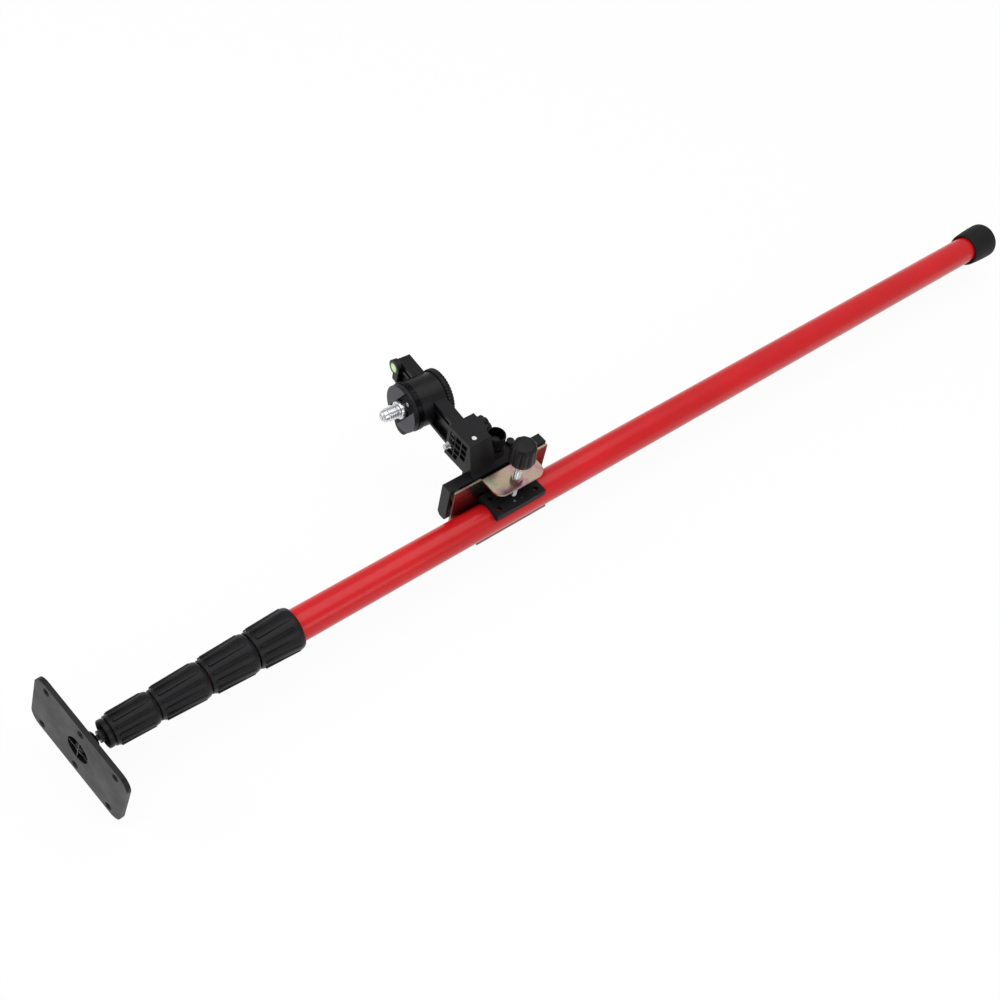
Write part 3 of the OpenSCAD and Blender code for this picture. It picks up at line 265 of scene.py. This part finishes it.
finishes = {
    "red_paint": enamel("red_enamel_on_aluminium", "#cc1219", "#bd0e14"),
    "black_rubber": moulded_plastic("moulded_black_rubber", "#111112", "#19191a", 0.6, 0.7, 0.05),
    "black_plastic": moulded_plastic("moulded_black_abs", "#0c0c0e", "#151518", 0.36, 0.55, 0.04),
    "dark_plastic": moulded_plastic("moulded_charcoal_abs", "#131316", "#1a1a1e", 0.4, 0.6, 0.03),
    "gloss_plastic": moulded_plastic("polished_black_abs", "#060607", "#0a0a0b", 0.16, 4.0, 0.02, 0.1),
    "nylon": moulded_plastic("natural_nylon", "#dcdacf", "#e6e4da", 0.45, 0.8, 0.03),
    "black_steel": moulded_plastic("black_oxide_steel", "#0a0a0b", "#141415", 0.34, 0.9, 0.02, 0.3),
    "steel": drawn_metal("bright_zinc_plated_steel", "#d9dadc", "#a9abae", 0.24, 0.7, (1.0, 1.0, 1.0)),
    "chrome": drawn_metal("chromed_steel", "#f0f1f2", "#dcdee0", 0.09, 1.2, (1.0, 1.0, 0.2)),
    "zinc_gold": yellow_zinc("yellow_passivated_zinc"),
    "aluminium": drawn_metal("turned_aluminium", "#e4e5e7", "#bfc1c4", 0.2, 0.6, (1.0, 0.3, 0.3)),
    "brass": drawn_metal("turned_brass", "#d8b56a", "#b48f45", 0.25, 0.7, (0.3, 1.0, 1.0)),
    "level_green": level_liquid("green_level_vial", level_centre, vial_r),
}
for part in frame["record"]["subparts"]:
    node = nodes[part["node"]]
    for place in node.material_slots:
        place.material = finishes[part["material_slot"]]


# Making pieces
merge_gap = 0.01 * MM
flat_angle, sharp_angle, smooth_angle = 0.4, 32.0, 40.0


def only(piece):
    """Selects this piece alone."""
    bpy.ops.object.select_all(action="DESELECT")
    piece.select_set(True)
    bpy.context.view_layer.objects.active = piece


def settle(piece, place, node, slot=None):
    """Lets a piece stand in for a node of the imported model, in the node's own finish if none is given."""
    slot = slot or slot_of[node]
    piece.data.transform(place)
    piece.data.materials.clear()
    piece.data.materials.append(finishes[slot])
    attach(piece, body_of[node])
    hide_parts(node)
    return piece


def close_up():
    """In edit mode: merges doubles, fills the open ends and turns every face outwards."""
    bpy.ops.mesh.select_all(action="SELECT")
    bpy.ops.mesh.remove_doubles(threshold=merge_gap)
    bpy.ops.mesh.select_all(action="DESELECT")
    bpy.ops.mesh.select_non_manifold(extend=False)
    bpy.ops.mesh.fill_holes(sides=0)
    bpy.ops.mesh.select_all(action="SELECT")
    bpy.ops.mesh.normals_make_consistent(inside=False)


def turned(name, profile, sides):
    """A solid of revolution about Z: a circle extruded along a profile of radius and height in mm."""
    bpy.ops.object.select_all(action="DESELECT")
    r, z = profile[0]
    bpy.ops.mesh.primitive_circle_add(vertices=sides, radius=r * MM)
    piece = bpy.context.object
    piece.name = name
    piece.data.transform(shift(0, 0, z))
    bpy.ops.object.mode_set(mode="EDIT")
    bpy.ops.mesh.select_all(action="SELECT")
    for new_r, new_z in profile[1:]:
        bpy.ops.mesh.extrude_region_move(TRANSFORM_OT_translate={"value": (0, 0, (new_z - z) * MM)})
        size = new_r / r
        bpy.ops.transform.resize(value=(size, size, 1), center_override=(0, 0, new_z * MM))
        r, z = new_r, new_z
    close_up()
    bpy.ops.object.mode_set(mode="OBJECT")
    return piece


def smooth(piece, angle=smooth_angle):
    """Shades a piece smooth, except across the edges sharper than angle."""
    only(piece)
    bpy.ops.object.shade_smooth_by_angle(angle=math.radians(angle))


def softened_copy(node, width, slot=None):
    """A node's own shape with its moulded or pressed edges rounded by width mm."""
    piece = bpy.data.objects.new(node + "_rounded", nodes[node].data.copy())
    bpy.context.scene.collection.objects.link(piece)
    only(piece)
    bpy.ops.object.mode_set(mode="EDIT")
    bpy.ops.mesh.select_all(action="SELECT")
    bpy.ops.mesh.remove_doubles(threshold=0.002 * MM)
    bpy.ops.mesh.dissolve_limited(angle_limit=math.radians(flat_angle))
    bpy.ops.object.mode_set(mode="OBJECT")
    edge = piece.modifiers.new("softened_edges", "BEVEL")
    edge.width = width * MM
    edge.segments = 2
    edge.limit_method = "ANGLE"
    edge.angle_limit = math.radians(sharp_angle)
    bpy.ops.object.modifier_apply(modifier=edge.name)
    smooth(piece)
    flat = piece.modifiers.new("flat_faces", "WEIGHTED_NORMAL")
    flat.keep_sharp = True
    bpy.ops.object.modifier_apply(modifier=flat.name)
    return settle(piece, Matrix.Identity(4), node, slot)


def raise_skin(piece, height):
    """Moves each point of a turned piece outwards by height(radius, angle, z), in mm and degrees."""
    for point in piece.data.vertices:
        r = math.hypot(point.co.x, point.co.y)
        if r > 0:
            angle = math.degrees(math.atan2(point.co.y, point.co.x))
            out = height(r / MM, angle, point.co.z / MM) * MM
            point.co.x *= 1 + out / r
            point.co.y *= 1 + out / r


def step_up(value, first, last):
    """A smooth step from 0 at first to 1 at last."""
    t = min(max((value - first) / (last - first), 0.0), 1.0)
    return t * t * (3 - 2 * t)


def join(pieces, name):
    """Several solids as one piece."""
    bpy.ops.object.select_all(action="DESELECT")
    for piece in pieces:
        piece.select_set(True)
    bpy.context.view_layer.objects.active = pieces[0]
    bpy.ops.object.join()
    pieces[0].name = name
    return pieces[0]


def threaded_rod(name, radius, pitch, depth, low, high, sides):
    """A rod about Z with a real thread: one turn's outline of radius and share of the pitch, screwed up."""
    root = radius - depth
    flank = [(root, 0.0), (root, 0.12), (radius, 0.45), (radius, 0.58), (root, 0.9), (root, 1.0)]
    bpy.ops.object.select_all(action="DESELECT")
    bpy.ops.mesh.primitive_circle_add(vertices=3, radius=radius * MM)
    piece = bpy.context.object
    piece.name = name
    bpy.ops.object.mode_set(mode="EDIT")
    bpy.ops.mesh.select_all(action="SELECT")
    bpy.ops.mesh.merge(type="CENTER")
    x, z = 0.0, 0.0
    for step, (new_x, share) in enumerate(flank):
        move = ((new_x - x) * MM, 0, (low + share * pitch - z) * MM)
        if step == 0:
            bpy.ops.transform.translate(value=move)
        else:
            bpy.ops.mesh.extrude_region_move(TRANSFORM_OT_translate={"value": move})
        x, z = new_x, low + share * pitch
    bpy.ops.object.mode_set(mode="OBJECT")
    rise = piece.modifiers.new("helix", "SCREW")
    rise.axis = "Z"
    rise.steps = sides
    rise.render_steps = sides
    rise.screw_offset = pitch * MM
    rise.iterations = int((high - low) / pitch)
    rise.use_merge_vertices = True
    rise.merge_threshold = merge_gap
    only(piece)
    bpy.ops.object.modifier_apply(modifier=rise.name)
    bpy.ops.object.mode_set(mode="EDIT")
    close_up()
    bpy.ops.object.mode_set(mode="OBJECT")
    smooth(piece)
    return piece


# The pole's tubes and foot
for node, radius in tubes.items():
    near, far = [corner[0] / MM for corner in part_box(node)]
    tube = turned(node + "_drawn", [
        (radius, near + tube_edge), (radius, far - tube_edge), (radius - tube_edge, far),
        (radius - tube_wall, far), (radius - tube_wall, near), (radius - tube_edge, near),
        (radius, near + tube_edge)], sides=128)
    smooth(tube)
    settle(tube, along_x, node)

foot_cap = turned("foot_cap_moulded", [
    (0.5, 0), (20.5, 0), (21.9, 0.25), (23.0, 0.9), (23.6, 1.9), (23.8, 3.2), (23.75, 14), (23.2, 26),
    (22.5, 36), (21.95, 41.5), (21.6, 43.2), (20.9, 43.9), (20.1, 44), (19.4, 43.4), (19.03, 42.4),
    (19.03, 38), (18.03, 38), (18.03, 5), (0.5, 5)], sides=128)
smooth(foot_cap)
settle(foot_cap, along_x, "foot_cap")

# Twist-lock sleeves: thirteen raised ribs on a steep taper, from a plain lip to a rounded foot end
rib_count = 13
rib_phase = 155.0
rib_half_angle = 4.3
rib_reach, rib_slope = 1.12, 0.3
rib_end, rib_point = 2.2, 0.9
lip, lip_round = 4.0, 0.6
rib_run_in = 4.0
foot_smooth, foot_drop = 6.2, 2.2
ring_gap, ring_count = 0.35, 10
grip_sides = 468


def ribbed_grip(name, length, head_r, foot_r, high, low, inside):
    """A moulded grip; head_r and foot_r are the radii of the rib tops, high and low the ribs' heights."""
    lip_r = head_r - high
    skin_r = foot_r - low
    bend = length - foot_smooth

    def skin(z):
        if z < lip_round:
            return lip_r - lip_round + math.sqrt(max(lip_round ** 2 - (lip_round - z) ** 2, 0.0))
        if z < bend:
            return lip_r + (skin_r - lip_r) * z / bend
        fall = math.asin(min((z - bend) / foot_smooth, 1.0))
        return skin_r - foot_drop * (1 - math.cos(fall))

    def rib_top(z):
        return head_r + (foot_r - head_r) * min(max((z - lip) / (bend - lip), 0.0), 1.0)

    heights = [0.0, 0.15, 0.35, lip_round, 2.0, 3.4]
    heights += [lip + ring_gap * i for i in range(ring_count)]
    heights += [lip + rib_run_in + (bend - lip - 2 * rib_run_in) * i / 6 for i in range(7)]
    heights += [bend - ring_gap * i for i in reversed(range(ring_count))]
    heights += [bend + foot_smooth * math.sin(math.radians(10 * i)) for i in range(1, 10)]
    outline = [(skin(z), z) for z in heights]
    piece = turned(name, outline + inside + [outline[0]], sides=grip_sides)

    def ribs(r, angle, z):
        if r < skin(z) - 0.02 or not lip < z < bend:
            return 0.0
        half_gap = 180 / rib_count
        away = abs((angle - rib_phase + half_gap) % (2 * half_gap) - half_gap)
        ends = min(z - lip, bend - z)
        across = away / rib_half_angle
        if ends < rib_end:
            across = math.hypot(across, (rib_end - ends) / rib_end * rib_point)
        return (rib_top(z) - skin(z)) * step_up(rib_reach - across, 0.0, rib_slope)

    raise_skin(piece, ribs)
    smooth(piece, 46.0)
    return piece


# Each lock grip's distance from the ball, length, tube radius and rib-top radius
grips = {"lock_grip_1": (177.3, 50.2, 18, 22.6), "lock_grip_2": (123.9, 51.7, 16, 20.6),
         "lock_grip_3": (69.6, 52.6, 14, 18.6)}
for node, (away, length, tube_r, head_r) in grips.items():
    base_r = tube_r + 1.68
    bore = tube_r - 1.92
    inside = [(base_r, length), (base_r, 9.25), (bore + 2.48, 9.25), (bore + 2.48, 2.4),
              (bore + 0.3, 2.4), (bore + 0.3, 0)]
    grip = ribbed_grip(node + "_moulded", length, head_r, head_r + 1.55, 2.4, 0.7, inside)
    settle(grip, head_place @ shift(away, 0, 0) @ along_x, node)
jack_grip = ribbed_grip("jack_grip_moulded", 45.9, 17.6, 18.375, 2.07, 0.7, [
    (14.08, 45.9), (14.08, 7.5), (9.38, 7.5), (9.38, -1.5), (12.2, -1.5), (12.5, -1.3), (12.5, 0.0)])
settle(jack_grip, head_place @ shift(22, 0, 0) @ along_x, "jack_grip")
jack_ring = turned("jack_ring_moulded", [
    (13.25, 16.1), (13.5, 15.7), (13.9, 15.5), (14.3, 15.6), (14.6, 15.9), (14.75, 16.4), (14.75, 19.6),
    (14.6, 20.1), (14.1, 20.4), (13.4, 20.5), (6.65, 20.5), (6.65, 19.0), (13.1, 19.0), (13.25, 18.8),
    (13.25, 16.1)], sides=128)
smooth(jack_ring)
settle(jack_ring, head_place @ along_x, "jack_cap")

# Moulded and pressed pieces that keep their shape and get real edges
rounded = {"head_plate": 0.5, "ball_socket": 0.4, "clamp_frame": 0.5, "magnet_bar": 0.8,
           "pressure_pad": 0.6, "arm_block": 0.5, "arm_rail": 0.5, "level_holder": 0.6, "carriage": 0.5,
           "carriage_cover": 0.4, "clamp_nut": 0.3}
for node, width in rounded.items():
    softened_copy(node, width)

# The turntable's front plane is a satin grey, and its recess is painted near black as painted shade
turntable = softened_copy("turntable", 0.6)
satin_grey = moulded_plastic("satin_grey_abs", "#3a3a41", "#44444b", 0.45, 0.6, 0.02, 0.3)
# Painted shade: a near-black, almost shineless material that darkens the recess in place of real shading
recess_painted_shade = moulded_plastic("painted_shade_recess_abs", "#060607", "#09090a", 0.5, 0.6, 0.02, 0.08)
turntable.data.materials.append(satin_grey)
turntable.data.materials.append(recess_painted_shade)
front_index, recess_index = 1, 2
front_depth = 0.3
forward = drum_place.to_3x3() @ Vector((-1, 0, 0))
reach = max(forward.dot(point.co) for point in turntable.data.vertices)
# Forward faces behind the front plane get the painted shade, the front plane keeps the satin grey
for face in turntable.data.polygons:
    if face.normal.dot(forward) > 0.9:
        in_front = forward.dot(face.center) > reach - front_depth * MM
        face.material_index = front_index if in_front else recess_index
softened_copy("dial_ring", 0.25, slot="gloss_plastic")
softened_copy("lock_screw", 0.2, slot="black_steel")


def fluted_knob(name, outline, lobes, depth, sharp, low, high):
    """A turned knob with grip flutes between its lobes, fading out at low and high."""
    knob = turned(name, outline, sides=240)
    hub_r = 0.6 * max(r for r, z in outline)

    def flutes(r, angle, z):
        if r < hub_r:
            return 0.0
        wave = abs(math.cos(math.radians(angle * lobes / 2)))
        return -depth * (1 - wave ** sharp) * step_up(z, low - 1, low + 1) * step_up(high - z, -1.5, 1.5)

    raise_skin(knob, flutes)
    smooth(knob, 50.0)
    return knob


# Clamp screw and its knob, whose outline is given in shares of its radius
clamp_knob_r = 15.0
clamp_knob_shares = [
    (0.71, 76), (0.785, 76.3), (0.9, 78.4), (0.975, 80.6), (1.0, 82.4), (0.997, 85), (0.985, 88),
    (0.97, 91), (0.955, 94), (0.94, 97), (0.925, 99.5), (0.9, 101.5), (0.85, 103.2), (0.76, 104.4),
    (0.64, 104.9), (0.45, 105)]
clamp_knob_outline = [(4.03, 76)] + [(share * clamp_knob_r, z) for share, z in clamp_knob_shares]
clamp_knob_outline += [(3, 105.0), (0.5, 105.0), (0.5, 90.5), (4.03, 90.5), (4.03, 76)]
clamp_knob = fluted_knob("clamp_knob_moulded", clamp_knob_outline, lobes=10, depth=1.5, sharp=0.6,
                         low=80, high=103.5)
settle(clamp_knob, clamp_place @ turn(18, "Z"), "clamp_knob")
rod = threaded_rod("clamp_rod", 4.0, 1.25, 0.55, 20.6, 66.8, sides=40)
tip = turned("clamp_tip", [
    (0.5, 19.8), (2.7, 19.8), (3.3, 20.3), (3.42, 21.2), (3.42, 21.6), (0.5, 21.6)], sides=48)
collar = turned("clamp_collar", [
    (0.5, 66.6), (5.4, 66.6), (5.9, 67.2), (5.9, 75.6), (5.7, 76), (3.97, 76), (3.97, 90.4), (0.5, 90.4)],
    sides=64)
smooth(tip)
smooth(collar)
settle(join([rod, tip, collar], "clamp_screw_chromed"), clamp_place, "clamp_screw")

# Locking and fine-adjusting knobs
cup = fluted_knob("cup_knob_polished", [
    (3.03, 62.3), (9.0, 62.3), (10.0, 62.6), (10.7, 63.4), (11, 64.6), (11, 68), (11, 72), (11, 76),
    (11, 78.2), (10.8, 79.3), (10.3, 80.0), (9.7, 80.3), (9.1, 80.1), (8.7, 79.6), (8.6, 78.8), (8.6, 70),
    (8.0, 68.5), (3.03, 68.3), (3.03, 62.3)], lobes=16, depth=0.75, sharp=0.8, low=64, high=79)
settle(cup, clamp_place @ shift(cup_x, cup_y, 0), "lock_knob")
fine_knob = fluted_knob("fine_knob_moulded", [
    (3.03, 0), (7.4, 0), (7.4, 2), (12.4, 2), (13.1, 2.3), (13.5, 3.1), (13.5, 9), (13.5, 14.6),
    (13.1, 15.5), (12.3, 16), (8.5, 16), (7.6, 15.4), (6.4, 15.2), (0.5, 15.2), (0.5, 10.1),
    (3.03, 10.1), (3.03, 0)], lobes=8, depth=1.9, sharp=0.75, low=2.5, high=16.5)
settle(fine_knob, clamp_place @ shift(fine_knob_x, fine_y, fine_z) @ along_x, "fine_knob")
fine_rod = threaded_rod("fine_rod_threaded", 3.0, 1.0, 0.45, -48.8, 2.4, sides=32)
settle(fine_rod, clamp_place @ shift(0, fine_y, fine_z) @ along_x, "fine_screw")

# Pinion knob behind the carriage
wheel_r = 29.5
notch_count = 48
notch_depth = 0.7
rim_r = 28.0
wheel = turned("pinion_knob_moulded", [
    (3.03, 9.9), (28.2, 9.9), (29.1, 10.2), (wheel_r, 11), (wheel_r, 13.4), (wheel_r, 15.8), (29.1, 16.6),
    (28.2, 16.9), (24, 16.9), (23, 16.1), (9, 16.1), (8, 16.9), (0.5, 16.9), (0.5, 15.9), (3.03, 15.9),
    (3.03, 9.9)], sides=notch_count * 8)


def notches(r, angle, z):
    """Shallow notches round the rim."""
    if r < rim_r:
        return 0.0
    return -notch_depth * step_up(math.cos(math.radians(angle * notch_count)), -0.3, 0.5)


raise_skin(wheel, notches)
smooth(wheel, 38.0)
settle(wheel, drum_place @ along_x, "pinion_knob")

# Instrument stud with its 5/8"-11 thread
stud = threaded_rod("stud_thread", 7.94, 2.31, 1.15, -55.0, -39.8, sides=64)
stud_tip = turned("stud_tip", [
    (3.0, -59.1), (3.0, -44.5), (2.9, -44.5), (2.9, -44.4), (6.5, -44.4), (6.78, -44.7), (6.78, -56.9),
    (6.5, -57.7), (4.8, -59.5), (3.3, -59.5), (3.0, -59.1)], sides=64)
stud_collar = turned("stud_collar", [
    (2.25, -40.7), (6.9, -40.7), (7.2, -39.4), (9.4, -39.1), (10.2, -38.7), (10.5, -38.0), (10.5, -32.5),
    (3.97, -32.5), (3.97, -27.6), (2.25, -27.6), (2.25, -40.7)], sides=96)
smooth(stud_tip)
smooth(stud_collar)
settle(join([stud, stud_tip, stud_collar], "instrument_stud_turned"), drum_place @ along_x, "adapter")


# Floor and background
def either(tree, first, second):
    """The greater of two values (node, output)."""
    return add(tree, "ShaderNodeMath", {".operation": "MAXIMUM"}, {"0": first, "1": second})


def white_floor():
    """Seamless white paper: plain white to the camera and in reflections, and still with a soft shadow."""
    material, tree = empty("white_paper")
    paper = add(tree, "ShaderNodeBsdfDiffuse", {"Color": linear("#f2f2f2")})
    glow = add(tree, "ShaderNodeEmission", {"Color": linear("#ffffff"), "Strength": 1.0})
    path = add(tree, "ShaderNodeLightPath")
    seen = either(tree, (path, "Is Camera Ray"), (path, "Is Glossy Ray"))
    seen_too = either(tree, (seen, "Value"), (path, "Is Transmission Ray"))
    share = add(tree, "ShaderNodeMath", {".operation": "MULTIPLY", "1": 0.94}, {"0": (seen_too, "Value")})
    mix = add(tree, "ShaderNodeMixShader", links={"0": (share, "Value"), "1": (paper, "BSDF"),
                                                  "2": (glow, "Emission")})
    add(tree, "ShaderNodeOutputMaterial", links={"Surface": (mix, "Shader")})
    return material


ground = cad_box[0][2] - 0.5 * MM
bpy.ops.object.select_all(action="DESELECT")
bpy.ops.mesh.primitive_plane_add(size=12.0, location=(0.7, 0.0, ground))
floor = bpy.context.object
floor.name = "studio_floor"
floor.data.materials.append(white_floor())
world = bpy.data.worlds.new("studio_world")
bpy.context.scene.world = world
world.use_nodes = True
sky = world.node_tree
sky.nodes.clear()
path = add(sky, "ShaderNodeLightPath")
seen = either(sky, (path, "Is Camera Ray"), (path, "Is Transmission Ray"))
plain = add(sky, "ShaderNodeBackground", {"Color": linear("#f5f6f8"), "Strength": 0.6})
white = add(sky, "ShaderNodeBackground", {"Color": linear("#ffffff"), "Strength": 1.0})
both = add(sky, "ShaderNodeMixShader", links={"0": (seen, "Value"), "1": (plain, "Background"),
                                              "2": (white, "Background")})
add(sky, "ShaderNodeOutputWorld", links={"Surface": (both, "Shader")})
